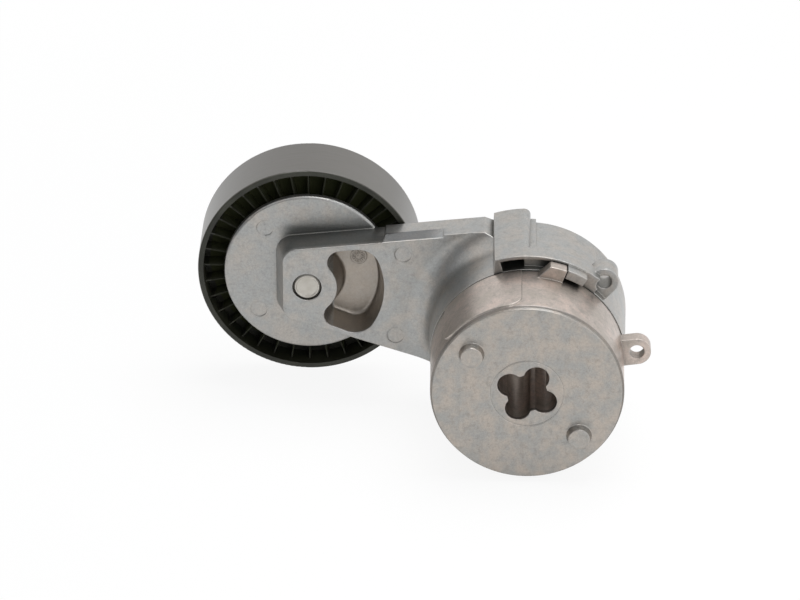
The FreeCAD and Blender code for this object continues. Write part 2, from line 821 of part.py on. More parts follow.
def add_shoe_carrier(body):
    """Add the inner wall that reaches into the case and carries the damping shoe round."""
    outer = f"({CUP_RADIUS} - carrier_gap)"
    root = f"({HUB_CAVITY} + carrier_gap)"
    revolve(body, "shoe_carrier", [
        (f"{outer} - carrier_wall", "shoe_front"),
        (outer, "shoe_front"),
        (outer, ARM_FRONT),
        (root, ARM_FRONT),
        (root, f"{ARM_FRONT} + carrier_root"),
        (f"{outer} - carrier_wall", f"{ARM_FRONT} + carrier_root"),
    ], "carrier_angle", "carrier_sweep")


def cut_kidney_pocket(body):
    """Cut the kidney-shaped pocket that lightens the beam around the bolt boss."""
    centres = {
        "lower_inner": polar("kidney_inner + kidney_small_round", "-kidney_low"),
        "lower_outer": polar("kidney_outer - kidney_large_round", "-kidney_outer_low"),
        "upper_outer": polar("kidney_outer - kidney_large_round", "kidney_outer_high"),
        "upper_inner": polar("kidney_inner + kidney_small_round", "kidney_high"),
    }

    def corner_arc(name, radius):
        return (radius, *centres[name], 1)

    def around(name, radius, angle):
        across, along = centres[name]
        return f"{across} + {radius} * cos({angle})", f"{along} + {radius} * sin({angle})"

    small, large = "kidney_small_round", "kidney_large_round"
    sketch = face_sketch(body, "kidney_outline", "beam_face", centre=(PULLEY_X, PULLEY_Z))
    draw_outline(sketch, [
        (*polar("kidney_inner", "kidney_high"), ("kidney_inner", "0", "0", -1)),
        (*polar("kidney_inner", "-kidney_low"), corner_arc("lower_inner", small)),
        around("lower_inner", small, "kidney_floor_angle"),
        (*around("lower_outer", large, "kidney_floor_angle"), corner_arc("lower_outer", large)),
        (*polar("kidney_outer", "-kidney_outer_low"), ("kidney_outer", "0", "0", 1)),
        (*polar("kidney_outer", "kidney_outer_high"), corner_arc("upper_outer", large)),
        around("upper_outer", large, "kidney_roof_angle"),
        (*around("upper_inner", small, "kidney_roof_angle"), corner_arc("upper_inner", small)),
    ])
    before = body.Tip.Shape.Volume
    feature = add_feature(body, "Pocket", "kidney", sketch)
    bind(feature, "Length", "kidney_depth")
    bind(feature, "TaperAngle", "-kidney_draft")
    settle(body, feature, before)
    floor = value("beam_face + kidney_depth")

    def is_kidney_floor(edge):
        middle = edge.valueAt((edge.FirstParameter + edge.LastParameter) / 2)
        return abs(middle.y - floor) < CLOSE and middle.x < value("-neck_reach")

    round_edges(body, "kidney_floor_round", "kidney_floor_radius", is_kidney_floor)


def cut_ejector_marks(body):
    """Sink the round ejector-pin marks that die casting leaves."""
    marks = {
        "shield_mark": "shield_front",
        "beam_mark": "beam_face",
    }
    for name, depth in marks.items():
        sketch = face_sketch(body, f"{name}_circles", depth)
        for place in ("high", "low"):
            across, along = polar(f"{name}_circle", f"{name}_{place}")
            draw_circle(sketch, f"{PULLEY_X} + {across}", f"{PULLEY_Z} + {along}", "mark_radius")
        pocket(body, f"{name}s", sketch, "mark_depth")


# --- plain turned and moulded pieces --------------------------------------------------------

def make_ring(label, corners, on_pulley=False):
    """Make a fully turned piece from its section."""
    body = new_body(label, on_pulley)
    revolve(body, "turned", corners)
    return body


def make_pivot_pieces():
    """Bush, sleeve, seats, washer and retaining plate around the pivot post."""
    make_ring("pivot_bush", [
        (BUSH_BORE, "tube_front - running_gap - seat_thickness"),
        ("tube_radius", "tube_front - running_gap - seat_thickness"),
        ("tube_radius", "tube_front"),
        (HUB_BORE, "tube_front"),
        (HUB_BORE, "hub_back"),
        (BUSH_BORE, "hub_back"),
    ])
    make_ring("spring_sleeve", rectangle(
        "tube_radius", "tube_radius + sleeve_wall", f"{CAVITY_BACK} - sleeve_length", CAVITY_BACK))
    make_ring("front_spring_seat", rectangle(
        COIL_INNER, COIL_OUTER, "base_floor", "base_floor + seat_thickness"))
    make_ring("back_spring_seat", rectangle(
        COIL_INNER, COIL_OUTER, f"{CAVITY_BACK} - back_seat_thickness", CAVITY_BACK))
    make_ring("thrust_washer", rectangle(
        "post_radius", "washer_radius", "hub_back + running_gap", POST_BACK))
    make_ring("retaining_plate", [
        ("tenon_radius", POST_BACK),
        ("plate_radius", POST_BACK),
        ("plate_radius", f"{POST_END} - plate_thickness / 3"),
        ("plate_radius - plate_thickness / 3", POST_END),
        ("tenon_radius", POST_END),
    ])
    make_ring("seal_ring", rectangle(
        "seal_ring_circle - seal_ring_wall / 2", "seal_ring_circle + seal_ring_wall / 2",
        "base_depth + running_gap", f"{ARM_FRONT} + seal_ring_depth"))


def make_torsion_spring():
    """Flat-wire torsion spring in the case, drawn as installed."""
    body = new_body("torsion_spring")
    sketch = section_sketch(body, "wire_section")
    draw_outline(sketch, rectangle(
        COIL_INNER, COIL_OUTER, COIL_FRONT, f"{COIL_FRONT} + wire_height"))
    helix = add_feature(body, "AdditiveHelix", "coil", sketch)
    helix.ReferenceAxis = (sketch, ["V_Axis"])
    helix.Mode = "pitch-turns-angle"
    bind(helix, "Pitch", f"({COIL_BACK} - {COIL_FRONT} - wire_height) / coil_turns")
    bind(helix, "Turns", "coil_turns")
    settle(body, helix)
    return body


def make_damping_pieces():
    """Open friction shoe that rubs on the case, and the leaf spring that spreads it."""
    opposite = "-(180 - carrier_angle)"
    shoe = new_body("damping_shoe")
    shoe_outer = f"({CUP_RADIUS} - running_gap)"
    revolve(shoe, "shoe", rectangle(
        f"{shoe_outer} - shoe_wall", shoe_outer, "shoe_front", "shoe_front + shoe_width"),
        opposite, "shoe_sweep")
    leaf = new_body("damping_leaf")
    leaf_outer = f"({shoe_outer} - shoe_wall)"
    leaf_front = "(shoe_front + (shoe_width - leaf_width) / 2)"
    revolve(leaf, "leaf", rectangle(
        f"{leaf_outer} - leaf_wall", leaf_outer, leaf_front, f"{leaf_front} + leaf_width"),
        opposite, "shoe_sweep")


# --- pulley, bearing and bolt ---------------------------------------------------------------

def make_pulley_wheel():
    """Moulded pulley: smooth rim, web, hub around the bearing and radial stiffening ribs."""
    body = new_body("pulley_wheel", on_pulley=True)
    back = f"({PULLEY_FRONT} + pulley_width)"
    rim_inner = "(pulley_radius - rim_wall)"
    hub_inner = "(bearing_outside / 2)"
    hub_outer = f"({hub_inner} + pulley_hub_wall)"
    lip = f"({hub_inner} - ring_chamfer)"
    hub_front = f"({PULLEY_MIDDLE} - pulley_hub_width / 2)"
    hub_back = f"({PULLEY_MIDDLE} + pulley_hub_width / 2)"
    web_front = f"({PULLEY_MIDDLE} - web_thickness / 2)"
    web_back = f"({PULLEY_MIDDLE} + web_thickness / 2)"
    crown = "(pulley_radius - rim_round)"
    revolve(body, "wheel", [
        (lip, hub_front),
        (hub_outer, hub_front),
        (hub_outer, web_front),
        (rim_inner, web_front),
        (rim_inner, PULLEY_FRONT),
        (crown, PULLEY_FRONT, ("rim_round", crown, f"{PULLEY_FRONT} + rim_round", 1)),
        ("pulley_radius", f"{PULLEY_FRONT} + rim_round"),
        ("pulley_radius", f"{back} - rim_round", ("rim_round", crown, f"{back} - rim_round", 1)),
        (crown, back),
        (rim_inner, back),
        (rim_inner, web_back),
        (hub_outer, web_back),
        (hub_outer, hub_back),
        (lip, hub_back),
        (lip, BEARING_BACK),
        (hub_inner, BEARING_BACK),
        (hub_inner, BEARING_FRONT),
        (lip, BEARING_FRONT),
    ])
    sketch = face_sketch(body, "rib_outline", f"{PULLEY_FRONT} + rib_setback")
    overlap = "rim_wall / 4"
    draw_outline(sketch, [
        (f"{hub_outer} - {overlap}", "-rib_thickness / 2"),
        (f"{rim_inner} + {overlap}", "-rib_thickness / 2"),
        (f"{rim_inner} + {overlap}", "rib_thickness / 2"),
        (f"{hub_outer} - {overlap}", "rib_thickness / 2"),
    ])
    rib = pad(body, "rib", sketch, "pulley_width - 2 * rib_setback")
    polar_copies(body, "ribs", [rib], "rib_count")
    return body


def make_bearing():
    """Deep-groove ball bearing: rings, seals, cage and balls."""
    race = "(ball_radius + race_gap)"
    inner_half = f"sqrt({race}^2 - (ball_circle - inner_shoulder)^2)"
    outer_half = f"sqrt({race}^2 - (outer_shoulder - ball_circle)^2)"
    bore = "bearing_bore / 2"
    make_ring("bearing_inner_ring", [
        (bore, f"{BEARING_FRONT} + ring_chamfer"),
        (f"{bore} + ring_chamfer", BEARING_FRONT),
        ("inner_shoulder", BEARING_FRONT),
        ("inner_shoulder", f"{PULLEY_MIDDLE} - {inner_half}",
         (race, "ball_circle", PULLEY_MIDDLE, -1)),
        ("inner_shoulder", f"{PULLEY_MIDDLE} + {inner_half}"),
        ("inner_shoulder", BEARING_BACK),
        (f"{bore} + ring_chamfer", BEARING_BACK),
        (bore, f"{BEARING_BACK} - ring_chamfer"),
    ], on_pulley=True)
    rim = "bearing_outside / 2"
    make_ring("bearing_outer_ring", [
        ("outer_shoulder", BEARING_FRONT),
        (rim, BEARING_FRONT),
        (rim, BEARING_BACK),
        ("outer_shoulder", BEARING_BACK),
        ("outer_shoulder", f"{PULLEY_MIDDLE} + {outer_half}",
         (race, "ball_circle", PULLEY_MIDDLE, -1)),
        ("outer_shoulder", f"{PULLEY_MIDDLE} - {outer_half}"),
    ], on_pulley=True)
    seal_fronts = {
        "front_bearing_seal": f"({BEARING_FRONT} + seal_recess)",
        "rear_bearing_seal": f"({BEARING_BACK} - seal_recess - seal_thickness)",
    }
    for label, front in seal_fronts.items():
        make_ring(label, rectangle(
            "inner_shoulder + seal_gap", "outer_shoulder", front, f"{front} + seal_thickness"),
            on_pulley=True)
    make_cage()
    make_balls()


def make_cage():
    """Ring with a round pocket for every ball."""
    body = new_body("bearing_cage", on_pulley=True)
    revolve(body, "cage_ring", rectangle(
        CAGE_RADIUS, f"{CAGE_RADIUS} + cage_wall",
        f"{PULLEY_MIDDLE} - cage_width / 2", f"{PULLEY_MIDDLE} + cage_width / 2"))
    sketch = new_sketch(body, "ball_pocket_circle", "YZ_Plane")
    draw_circle(sketch, PULLEY_MIDDLE, "0", "ball_radius + pocket_gap")
    before = body.Tip.Shape.Volume
    hole = add_feature(body, "Pocket", "ball_pocket", sketch)
    hole.Reversed = True
    bind(hole, "Length", "ball_circle + cage_wall")
    settle(body, hole, before)
    polar_copies(body, "ball_pockets", [hole], "ball_count")
    return body


def make_balls():
    """Place the balls evenly on their circle, as one group of separate solids."""
    balls = []
    for number in range(int(value("ball_count"))):
        ball = doc.addObject("Part::Sphere", f"ball_{number + 1}")
        bind(ball, "Radius", "ball_radius")
        across, along = polar("ball_circle", f"{number} * 360 / ball_count")
        bind(ball, "Placement.Base.x", f"{PULLEY_X} + {across}")
        bind(ball, "Placement.Base.y", PULLEY_MIDDLE)
        bind(ball, "Placement.Base.z", f"{PULLEY_Z} + {along}")
        balls.append(ball)
    group = doc.addObject("Part::Compound", "bearing_balls")
    group.Label = "bearing_balls"
    group.Links = balls
    nodes.append(group)
    return group


def make_pulley_bolt():
    """Hexagon flange bolt that enters from the back and ends flush with the beam's face."""
    body = new_body("pulley_bolt", on_pulley=True)
    tip = "(beam_face + mark_depth)"
    flange_back = f"({COVER_BACK} + flange_thickness)"
    revolve(body, "shank", [
        ("0", tip),
        ("shank_radius - shank_chamfer", tip),
        ("shank_radius", f"{tip} + shank_chamfer"),
        ("shank_radius", COVER_BACK),
        ("flange_radius", COVER_BACK),
        ("flange_radius", f"{COVER_BACK} + flange_thickness / 2"),
        ("flange_radius - flange_thickness / 2", flange_back),
        ("0", flange_back),
    ])
    sketch = face_sketch(body, "head_outline", flange_back)
    corner = "head_width / (2 * cos(30))"
    draw_outline(sketch, [polar(corner, str(60 * number)) for number in range(6)])
    pad(body, "head", sketch, "head_height")
    return body


def make_clamped_pieces():
    """Spacer inside the bearing and the dust cover under the bolt head."""
    make_ring("pulley_spacer", rectangle(
        SHANK_BORE, "bearing_bore / 2", BEARING_FRONT, BEARING_BACK), on_pulley=True)
    make_ring("rear_dust_cover", [
        (SHANK_BORE, BEARING_BACK),
        ("cover_flat", BEARING_BACK),
        ("cover_radius", f"{BEARING_BACK} + cover_dish"),
        ("cover_radius", f"{COVER_BACK} + cover_dish"),
        ("cover_flat", COVER_BACK),
        (SHANK_BORE, COVER_BACK),
    ], on_pulley=True)


# --- checks and export ----------------------------------------------------------------------

def check_document():
    """Stop when any object has failed or any sub-part is not a valid solid."""
    for item in doc.Objects:
        if {"Invalid", "Error"} & set(item.State):
            raise RuntimeError(f"{item.Label} is {item.State}")
    for node in nodes:
        if node.Shape.isNull() or not node.Shape.isValid() or not node.Shape.Solids:
            raise RuntimeError(f"{node.Label} has no valid solid")


def write_parts():
    """Write every sub-part to its own STEP file."""
    os.makedirs("parts", exist_ok=True)
    for node in nodes:
        node.Shape.exportStep(f"parts/{node.Label}.step")
        print(f"{node.Label}: {len(node.Shape.Solids)} solid(s), {node.Shape.Volume:.0f} mm3")


fill_sheet()
make_base_housing()
make_arm_casting()
make_pivot_pieces()
make_torsion_spring()
make_damping_pieces()
make_pulley_wheel()
make_bearing()
make_clamped_pieces()
make_pulley_bolt()
doc.recompute()
check_document()
write_parts()
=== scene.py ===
"""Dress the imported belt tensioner: finishes for every node, formed details and a plain studio.

The part is in metres in its own frame: the pivot runs along Y, the mounting face looks towards
-Y, +Z is up and the pulley hangs towards -X.
"""
from __future__ import annotations

import json
import logging
import math
from dataclasses import dataclass
from enum import Enum

import bmesh
import bpy
from mathutils import Matrix, Vector

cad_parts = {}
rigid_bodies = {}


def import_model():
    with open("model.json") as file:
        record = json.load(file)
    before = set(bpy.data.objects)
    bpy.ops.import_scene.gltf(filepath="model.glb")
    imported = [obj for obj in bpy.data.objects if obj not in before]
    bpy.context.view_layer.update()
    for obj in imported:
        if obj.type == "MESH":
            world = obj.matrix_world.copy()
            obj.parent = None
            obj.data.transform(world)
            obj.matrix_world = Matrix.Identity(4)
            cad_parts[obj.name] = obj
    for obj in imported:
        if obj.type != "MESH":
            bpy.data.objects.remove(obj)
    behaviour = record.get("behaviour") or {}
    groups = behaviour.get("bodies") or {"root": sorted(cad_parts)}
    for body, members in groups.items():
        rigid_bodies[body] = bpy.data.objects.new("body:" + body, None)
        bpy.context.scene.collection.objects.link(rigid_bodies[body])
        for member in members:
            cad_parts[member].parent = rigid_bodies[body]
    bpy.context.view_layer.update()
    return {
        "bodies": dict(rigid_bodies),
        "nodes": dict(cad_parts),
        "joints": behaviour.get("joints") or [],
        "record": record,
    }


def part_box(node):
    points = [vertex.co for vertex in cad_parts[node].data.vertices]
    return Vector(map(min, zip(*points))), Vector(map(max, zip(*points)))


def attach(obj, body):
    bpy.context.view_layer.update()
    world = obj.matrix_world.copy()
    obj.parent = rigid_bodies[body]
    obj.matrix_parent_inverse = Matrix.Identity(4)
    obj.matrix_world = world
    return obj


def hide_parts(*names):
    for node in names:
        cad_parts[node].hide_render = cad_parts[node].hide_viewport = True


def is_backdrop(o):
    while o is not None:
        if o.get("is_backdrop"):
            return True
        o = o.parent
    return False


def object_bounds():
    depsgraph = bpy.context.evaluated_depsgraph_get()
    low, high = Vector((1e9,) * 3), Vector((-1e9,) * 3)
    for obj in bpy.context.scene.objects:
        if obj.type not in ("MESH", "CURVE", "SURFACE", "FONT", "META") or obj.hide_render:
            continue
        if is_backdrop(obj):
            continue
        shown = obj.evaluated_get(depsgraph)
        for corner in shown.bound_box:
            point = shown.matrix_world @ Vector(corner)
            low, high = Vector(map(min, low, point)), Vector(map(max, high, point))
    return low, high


log = logging.getLogger("tensioner")
MM = 0.001
SHARP_ANGLE = math.radians(30)
NODE_SAMPLES = 8
Colour = tuple[int, int, int]


class Axis(Enum):
    """One part of a vector."""

    X = "X"
    Y = "Y"
    Z = "Z"


class Mix(Enum):
    """How two colours are combined."""

    PLAIN = "MIX"
    PRODUCT = "MULTIPLY"


class Ray(Enum):
    """A kind of ray that asks for a colour."""

    CAMERA = "Is Camera Ray"
    GLOSSY = "Is Glossy Ray"
    TRANSMISSION = "Is Transmission Ray"


# --- shader maths ---------------------------------------------------------------------------

class Wire:
    """The output of a shader node, with the arithmetic that a finish is written in."""

    def __init__(self, graph: "Graph", socket: bpy.types.NodeSocket) -> None:
        """Keep the output and the graph that new nodes join."""
        self.graph = graph
        self.socket = socket

    def _math(self, operation: str, left: "Operand", right: "Operand" = 0.0) -> "Wire":
        """Add a Math node on two values."""
        return self.graph.node("ShaderNodeMath", {"operation": operation}, {0: left, 1: right})

    def __add__(self, other: "Operand") -> "Wire":
        """Return the sum."""
        return self._math("ADD", self, other)

    __radd__ = __add__

    def __sub__(self, other: "Operand") -> "Wire":
        """Return the difference."""
        return self._math("SUBTRACT", self, other)

    def __rsub__(self, other: "Operand") -> "Wire":
        """Return the difference the other way round."""
        return self._math("SUBTRACT", other, self)

    def __mul__(self, other: "Operand") -> "Wire":
        """Return the product."""
        return self._math("MULTIPLY", self, other)

    __rmul__ = __mul__

    def clamped(self) -> "Wire":
        """Return the value held between 0 and 1."""
        return self.graph.node("ShaderNodeClamp", {}, {"Value": self})

    def between(self, low: float, high: float) -> "Wire":
        """Return 0 below low and 1 above high, rising smoothly between the two.

        Args:
            low: Value that becomes 0.
            high: Value that becomes 1; below low, the step falls instead of rising.

        Returns:
            The smooth step.
        """
        return self.graph.node(
            "ShaderNodeMapRange", {"interpolation_type": "SMOOTHSTEP"},
            {"Value": self, "From Min": low, "From Max": high})


Operand = Wire | float


def linear(level: int) -> float:
    """Return a displayed level of 0 to 255 as linear light of 0 to 1."""
    part = level / 255
    return part / 12.92 if part <= 0.04045 else ((part + 0.055) / 1.055) ** 2.4


def shade(colour: Colour) -> tuple[float, float, float, float]:
    """Return a displayed colour as the linear colour, with a full alpha, that a shader takes."""
    red, green, blue = (linear(level) for level in colour)
    return (red, green, blue, 1.0)


class Graph:
    """The node tree of one material, or of the world."""

    def __init__(self, owner: bpy.types.Material | bpy.types.World) -> None:
        """Clear the tree of a material or a world and give it an output.

        Args:
            owner: What the tree belongs to.
        """
        owner.use_nodes = True
        self.tree = owner.node_tree
        self.tree.nodes.clear()
        kind = "World" if isinstance(owner, bpy.types.World) else "Material"
        self.output = self.tree.nodes.new(f"ShaderNodeOutput{kind}")

    def node(self, kind: str, settings: dict[str, object], inputs: dict[str | int, object],
             output: str | int = 0) -> Wire:
        """Add a node.

        Args:
            kind: Node type.
            settings: Properties set before the sockets.
            inputs: Values, colours or wires by socket.
            output: Socket to hand back.

        Returns:
            The wire of that output.
        """
        made = self.tree.nodes.new(kind)
        for key, setting in settings.items():
            setattr(made, key, setting)
        for key, given in inputs.items():
            if isinstance(given, Wire):
                self.tree.links.new(given.socket, made.inputs[key])
            else:
                made.inputs[key].default_value = given
        return Wire(self, made.outputs[output])

    def place(self) -> Wire:
        """Return the position on the piece, in metres of the part's frame."""
        return self.node("ShaderNodeTexCoord", {}, {}, "Object")

    def part(self, vector: Wire, axis: Axis) -> Wire:
        """Return one part of a vector."""
        return self.node("ShaderNodeSeparateXYZ", {}, {0: vector}, axis.value)

    def ray(self, kind: Ray) -> Wire:
        """Return 1 where a ray of a kind asks for the colour, else 0."""
        return self.node("ShaderNodeLightPath", {}, {}, kind.value)

    def stretched(self, place: Wire, factors: tuple[float, float, float]) -> Wire:
        """Return a vector with each part multiplied by its own factor."""
        return self.node("ShaderNodeVectorMath", {"operation": "MULTIPLY"},
                         {0: place, 1: factors})

    def length(self, vector: Wire) -> Wire:
        """Return the length of a vector."""
        return self.node("ShaderNodeVectorMath", {"operation": "LENGTH"}, {0: vector}, "Value")

    def reach(self, place: Wire, centre: Vector) -> Wire:
        """Return the distance from an axis along Y.

        Args:
            place: Where the surface is.
            centre: A point on the axis.

        Returns:
            The distance in metres.
        """
        here = self.node("ShaderNodeVectorMath", {"operation": "SUBTRACT"},
                         {0: place, 1: tuple(centre)})
        return self.length(self.stretched(here, (1.0, 0.0, 1.0)))

    def noise(self, place: Wire, size: float, detail: float = 2.0, rough: float = 0.5) -> Wire:
        """Return cloudy noise of 0 to 1.

        Args:
            place: Where the noise is read.
            size: Width of one cloud in metres.
            detail: Number of finer layers.
            rough: Strength of the finer layers.

        Returns:
            The noise value.
        """
        return self.node("ShaderNodeTexNoise", {}, {
            "Vector": place, "Scale": 1 / size, "Detail": detail, "Roughness": rough})

    def grey(self, level: Wire) -> Wire:
        """Return a value as a grey colour."""
        return self.node("ShaderNodeCombineColor", {}, {0: level, 1: level, 2: level})

    def blend(self, share: Operand, low: object, high: object,
              mode: Mix = Mix.PLAIN) -> Wire:
        """Mix two colours.

        Args:
            share: Share of the second colour.
            low: First colour or wire.
            high: Second colour or wire.
            mode: How the two are combined.

        Returns:
            The mixed colour.
        """
        return self.node(
            "ShaderNodeMix", {"data_type": "RGBA", "blend_type": mode.value},
            {0: share, 6: low, 7: high}, 2)

    def crevice(self, reach: float) -> Wire:
        """Return how shut in the surface is, from 0 in the open to 1 deep in a gap.

        Args:
            reach: How far away other surfaces count, in metres.

        Returns:
            The depth of the crevice.
        """
        open_share = self.node("ShaderNodeAmbientOcclusion", {"samples": NODE_SAMPLES},
                               {"Distance": reach}, "AO")
        return open_share.between(0.72, 0.22)

    def worn_edge(self, width: float) -> Wire:
        """Return how near the surface is to a corner or an edge, from 0 to 1.

        Args:
            width: Width of the band in metres.

        Returns:
            The band's strength.
        """
        rounded = self.rounded(width)
        facing = self.node("ShaderNodeNewGeometry", {}, {}, "Normal")
        along = self.node("ShaderNodeVectorMath", {"operation": "DOT_PRODUCT"},
                          {0: rounded, 1: facing}, "Value")
        return along.between(0.995, 0.86)

    def rounded(self, radius: float) -> Wire:
        """Return the surface normal with every edge softened to a radius in metres."""
        return self.node("ShaderNodeBevel", {"samples": NODE_SAMPLES}, {"Radius": radius})

    def bump(self, height: Wire, depth: float, normal: Wire) -> Wire:
        """Return a normal that is roughened by a height of 0 to 1.

        Args:
            height: The height pattern.
            depth: Height in metres that 1 stands for.
            normal: Normal that the bump is laid on.

        Returns:
            The bumped normal.
        """
        return self.node("ShaderNodeBump", {}, {
            "Strength": 1.0, "Distance": depth, "Height": height, "Normal": normal})

    def close(self, shader: Wire) -> None:
        """Send a shader to the output."""
        self.tree.links.new(shader.socket, self.output.inputs["Surface"])

    def surface(self, **sockets: object) -> None:
        """Close the graph with a Principled shader.

        Args:
            **sockets: Values and wires by socket name, with _ for each space.
        """
        inputs = {key.replace("_", " "): given for key, given in sockets.items()}
        self.close(self.node("ShaderNodeBsdfPrincipled", {}, inputs))


# --- finishes -------------------------------------------------------------------------------

@dataclass(frozen=True)
class Finish:
    """What every finish has: a name, and a material that is made from it."""

    name: str

    def build(self) -> bpy.types.Material:
        """Return the material."""
        material = bpy.data.materials.new(self.name)
        self.draw(Graph(material))
        return material

    def draw(self, graph: Graph) -> None:
        """Fill the material's graph.

        Args:
            graph: The empty graph.
        """
        raise NotImplementedError


@dataclass(frozen=True)
class ShadeBlock:
    """A block of space where shade is painted into a metal, in a tint of its own: a pocket, a
    step or the foot of a wall.

    The corners and the width of the soft border are in millimetres of the part's frame.
    """

    low: Vector
    high: Vector
    soft: Vector
    tint: Colour
    depth: float

    def share(self, graph: Graph, place: Wire) -> Wire:
        """Return how far the tint holds, from 0 outside the block to its depth inside.

        Args:
            graph: Graph that the nodes join.
            place: Where the surface is.

        Returns:
            The share.
        """
        inside: Operand = 1.0
        for low, high, soft, axis in zip(self.low, self.high, self.soft, Axis):
            along = graph.part(place, axis)
            inside = (along.between(low * MM, (low + soft) * MM)
                      * along.between(high * MM, (high - soft) * MM) * inside)
        return inside * self.depth


@dataclass(frozen=True)
class CastMetal(Finish):
    """As-cast light alloy: grey with warm and cool patches and a fine skin, painted light on the
    sides, and dirt and painted shade in gaps and pockets.
    """

    cool: Colour
    warm: Colour
    stain: Colour
    lit_flank: Colour
    lit_flank_share: float
    shade_blocks: tuple[ShadeBlock, ...]
    inner_painted_shade: Colour = (88, 88, 83)
    inner_reach: float = 9.0 * MM
    grime_and_painted_shade: Colour = (58, 57, 52)
    grime_and_shade_reach: float = 3.0 * MM
    worn_shade: Colour = (214, 210, 204)
    edge_radius: float = 0.65 * MM
    face_depth: float = 1.0 * MM
    flank_depth: float = 2.4 * MM
    skin_height: float = 0.09 * MM
    roughness: float = 0.29
    metallic: float = 0.93

    def draw(self, graph: Graph) -> None:
        """Fill the material's graph with the metal.

        Args:
            graph: The empty graph.
        """
        place = graph.place()
        cloud = graph.noise(place, 7 * MM, 4.0, 0.62)
        patch = graph.noise(place, 2.4 * MM, 4.0, 0.66)
        speck = graph.noise(place, 0.8 * MM, 3.0, 0.62)
        grain = graph.noise(place, 0.34 * MM, 2.0, 0.5)
        tint = self._patches(graph, place, cloud, patch)
        level = 0.56 + speck * 0.46 + grain * 0.38
        tint = graph.blend(1.0, tint, graph.grey(level), Mix.PRODUCT)
        # Dirt and painted shade, from how shut in the surface is.
        grime_and_shade = graph.crevice(self.grime_and_shade_reach)
        tint = self._shadows(graph, place, tint, grime_and_shade)
        skin = patch * 0.30 + speck * 0.42 + grain * 0.28
        normal = graph.bump(skin, self.skin_height, graph.rounded(self.edge_radius))
        rough = self.roughness + patch * 0.14 + grime_and_shade * 0.2
        graph.surface(Base_Color=tint, Metallic=self.metallic, Roughness=rough, Normal=normal)

    def _patches(self, graph: Graph, place: Wire, cloud: Wire, patch: Wire) -> Wire:
        """Return the metal's colour: cool and warm clouds and stains, with painted light on the
        sides behind the face.

        Args:
            graph: Graph that the nodes join.
            place: Where the surface is.
            cloud: Noise of the large patches.
            patch: Noise of the small patches.

        Returns:
            The colour.
        """
        tint = graph.blend(cloud.between(0.34, 0.66), shade(self.cool), shade(self.warm))
        # Painted light: in patches, the surfaces behind the face take a lighter colour.
        behind_face = graph.part(place, Axis.Y).between(self.face_depth, self.flank_depth)
        lit_flank = behind_face * self.lit_flank_share * cloud.between(0.70, 0.30)
        tint = graph.blend(lit_flank, tint, shade(self.lit_flank))
        return graph.blend(patch.between(0.48, 0.72) * 0.45, tint, shade(self.stain))

    def _shadows(self, graph: Graph, place: Wire, tint: Wire, grime_and_shade: Wire) -> Wire:
        """Return a colour darkened by painted shade in pockets and gaps, with dirt in the gaps,
        and brightened on worn edges.

        Args:
            graph: Graph that the nodes join.
            place: Where the surface is.
            tint: The colour so far.
            grime_and_shade: How much dirt and painted shade lie there.

        Returns:
            The colour.
        """
        # Painted shade deep in pockets and at the feet of walls, where other surfaces close in.
        tint = graph.blend(graph.crevice(self.inner_reach) * 0.65, tint,
                           shade(self.inner_painted_shade))
        for shade_block in self.shade_blocks:
            tint = graph.blend(shade_block.share(graph, place), tint, shade(shade_block.tint))
        # Dirt and painted shade darken the gaps and the feet of the bosses.
        tint = graph.blend(grime_and_shade * 0.8, tint, shade(self.grime_and_painted_shade))
        edge = graph.worn_edge(self.edge_radius) * (1.0 - grime_and_shade)
        return graph.blend(edge * 0.22, tint, shade(self.worn_shade))


@dataclass(frozen=True)
class MouldedPlastic(Finish):
    """Glass-filled black plastic; the running surface around an axis along Y has polish, and its
    sheen is painted as a lighter brown.
    """

    body: Colour
    polish_and_sheen: Colour
    dust: Colour
    recess: Colour
    centre: Vector
    run_radius: float
    lip_width: float = 3.6 * MM
    floor_front: tuple[float, float] = (63.5 * MM, 69.0 * MM)
    floor_back: tuple[float, float] = (78.0 * MM, 73.0 * MM)

    def draw(self, graph: Graph) -> None:
        """Fill the material's graph with the plastic.

        Args:
            graph: The empty graph.
        """
        place = graph.place()
        reach = graph.reach(place, self.centre)
        run = reach.between(self.run_radius - 0.35 * MM, self.run_radius - 0.05 * MM)
        lines = graph.noise(graph.stretched(place, (0.04, 1.0, 0.04)), 0.5 * MM, 4.0, 0.6)
        smear = graph.noise(place, 12 * MM, 3.0, 0.55)
        grain = graph.noise(place, 0.3 * MM, 2.0, 0.5)
        tint = graph.blend(smear.between(0.35, 0.7) * 0.5, shade(self.body), shade(self.dust))
        # Painted sheen: the running surface takes a lighter brown than the black body.
        belt = graph.blend(lines.between(0.3, 0.7) * 0.5, shade(self.polish_and_sheen),
                           shade(self.dust))
        tint = graph.blend(run, tint, belt)
        tint = graph.blend(graph.worn_edge(0.2 * MM) * 0.25, tint, shade(self.polish_and_sheen))
        lip = self.run_radius - self.lip_width
        recess = reach.between(lip, lip - 0.4 * MM)
        depth = graph.part(place, Axis.Y)
        floor = depth.between(*self.floor_front) * depth.between(*self.floor_back)
        deep = graph.blend(floor, shade(self.body), shade(self.recess))
        tint = graph.blend(recess * 0.95, tint, deep)
        rough = 0.46 - run * 0.16 + grain * 0.08 + recess * 0.36
        height = grain * 0.5 + lines * run * 0.5
        normal = graph.bump(height, 0.02 * MM, graph.rounded(0.25 * MM))
        graph.surface(Base_Color=tint, Roughness=rough, Coat_Weight=run * 0.35,
                      Coat_Roughness=0.32, Normal=normal)


